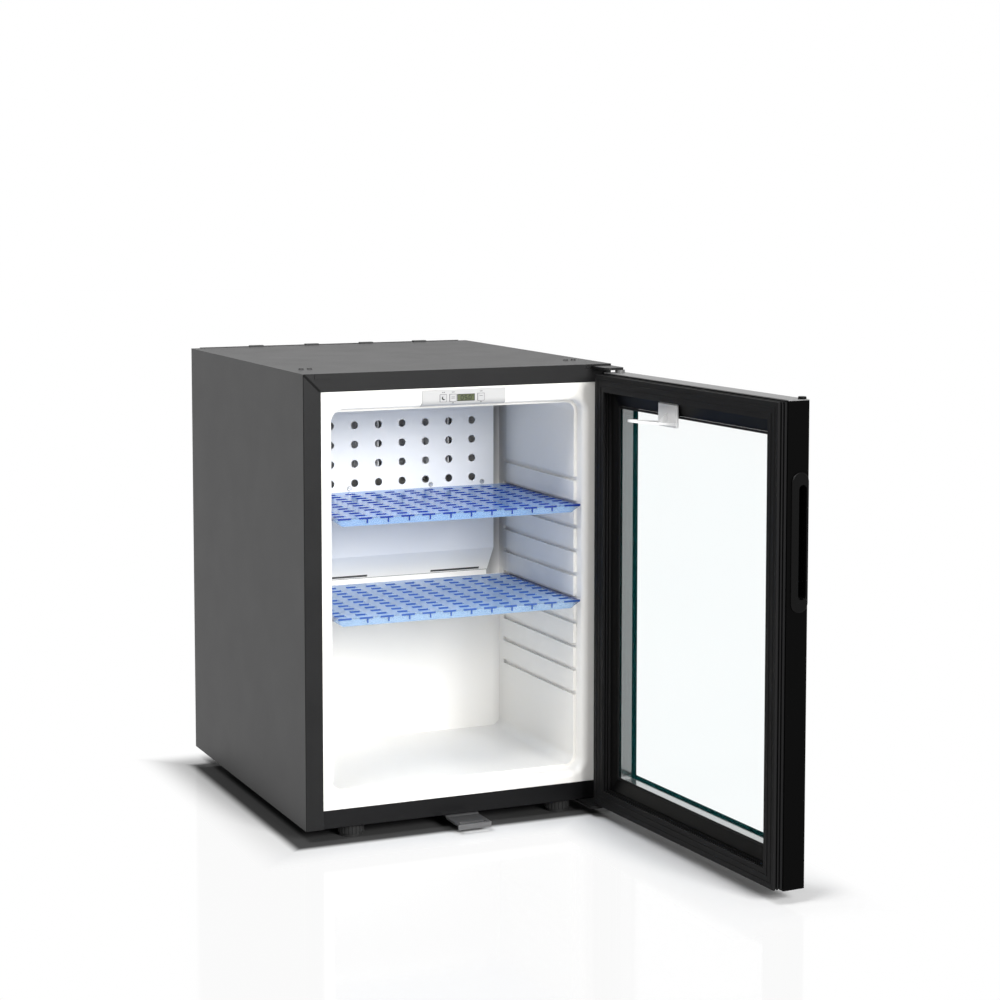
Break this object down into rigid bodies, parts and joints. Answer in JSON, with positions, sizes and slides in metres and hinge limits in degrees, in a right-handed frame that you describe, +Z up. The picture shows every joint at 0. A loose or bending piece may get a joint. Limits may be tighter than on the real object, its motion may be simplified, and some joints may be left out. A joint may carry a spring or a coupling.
{
  "type": "minibar fridge",
  "caption": "Compact hotel minibar fridge: black steel cabinet with a white moulded liner, blue slide-in shelves, a small control panel and a framed glass door, stored open.",
  "frame": {"origin": "On the floor, at the middle of the rectangle of the four feet, which is the middle of the cabinet's footprint", "axes": "+X to the right as seen by someone facing the door opening, +Y from the opening towards the back, +Z up"},
  "size_m": [0.4247, 0.8928, 0.562],
  "materials": {
    "black_steel": "satin",
    "white_plastic": "satin",
    "white_coated_steel": "satin",
    "blue_plastic": "translucent",
    "black_plastic": "satin",
    "grey_plastic": "satin",
    "foam": "matte",
    "black_rubber": "matte",
    "clear_glass": "polished",
    "display_cover": "polished",
    "bare_aluminium": "satin",
    "plated_steel": "satin",
    "board": "satin"
  },
  "bodies": {
    "cabinet": {"left_side_panel": "black_steel", "right_side_panel": "black_steel", "top_panel": "black_steel", "bottom_rail": "black_steel", "base_pan": "black_steel", "rear_bulkhead": "black_steel", "foot_inserts": "plated_steel", "rear_feet": "black_plastic", "inner_liner": "white_plastic", "insulation_foam": "foam", "cold_baffle": "white_coated_steel", "baffle_standoffs": "plated_steel", "baffle_screws": "plated_steel", "evaporator_fins": "bare_aluminium", "control_housing": "white_plastic", "display_window": "display_cover", "control_board": "board", "top_hinge_bracket": "black_steel", "bottom_hinge_bracket": "black_steel", "hinge_washers": "grey_plastic", "hinge_screws": "plated_steel", "hinge_slot_plug": "black_plastic", "lock_keeper": "black_steel", "keeper_screws": "plated_steel", "absorber_vessel": "black_steel", "boiler_casing": "black_steel", "absorber_coil": "black_steel", "evaporator_tubes": "plated_steel", "condenser": "black_steel", "liquid_pipes": "black_steel", "unit_brackets": "black_steel", "electrical_box": "black_plastic", "cord_gland": "black_plastic"},
    "left_foot": {"front_left_foot": "black_plastic"},
    "right_foot": {"front_right_foot": "black_plastic"},
    "night_key": {"night_button": "grey_plastic"},
    "lower_key": {"lower_button": "grey_plastic"},
    "raise_key": {"raise_button": "grey_plastic"},
    "upper_rack": {"upper_shelf": "blue_plastic"},
    "lower_rack": {"lower_shelf": "blue_plastic"},
    "door": {"door_frame": "black_plastic", "door_trim": "black_plastic", "door_gasket": "black_rubber", "inner_glass": "clear_glass", "outer_glass": "clear_glass", "glass_spacer": "bare_aluminium", "handle_grip": "black_plastic", "door_top_strip": "bare_aluminium", "door_pivot_cap": "black_plastic", "switch_finger": "white_plastic", "lock_housing": "black_plastic"},
    "lock": {"lock_plug": "plated_steel", "lock_cam": "plated_steel"}
  },
  "joints": [
    {"name": "door_hinge", "type": "hinge", "parent": "cabinet", "child": "door", "pos_m": [0.196, -0.264, 0.284], "axis": [0, 0, 1], "range_deg": [-93, 27]},
    {"name": "lock_turn", "type": "hinge", "parent": "door", "child": "lock", "pos_m": [0.20526, -0.45978, 0.032], "axis": [-0.9986, -0.0523, 0], "range_deg": [0, 90]},
    {"name": "upper_rack_slide", "type": "slide", "parent": "cabinet", "child": "upper_rack", "axis": [0, -1, 0], "range_m": [0, 0.2]},
    {"name": "lower_rack_slide", "type": "slide", "parent": "cabinet", "child": "lower_rack", "axis": [0, -1, 0], "range_m": [0, 0.2]},
    {"name": "left_foot_turn", "type": "hinge", "parent": "cabinet", "child": "left_foot", "pos_m": [-0.137, -0.21, 0], "axis": [0, 0, 1], "range_deg": [-180, 180]},
    {"name": "right_foot_turn", "type": "hinge", "parent": "cabinet", "child": "right_foot", "pos_m": [0.137, -0.21, 0], "axis": [0, 0, 1], "range_deg": [-180, 180]},
    {"name": "night_press", "type": "slide", "parent": "cabinet", "child": "night_key", "axis": [0, 1, 0], "range_m": [0, 0.0008], "stiffness_N_per_m": 300, "springref_m": -0.0008},
    {"name": "lower_press", "type": "slide", "parent": "cabinet", "child": "lower_key", "axis": [0, 1, 0], "range_m": [0, 0.0008], "stiffness_N_per_m": 300, "springref_m": -0.0008},
    {"name": "raise_press", "type": "slide", "parent": "cabinet", "child": "raise_key", "axis": [0, 1, 0], "range_m": [0, 0.0008], "stiffness_N_per_m": 300, "springref_m": -0.0008}
  ]
}
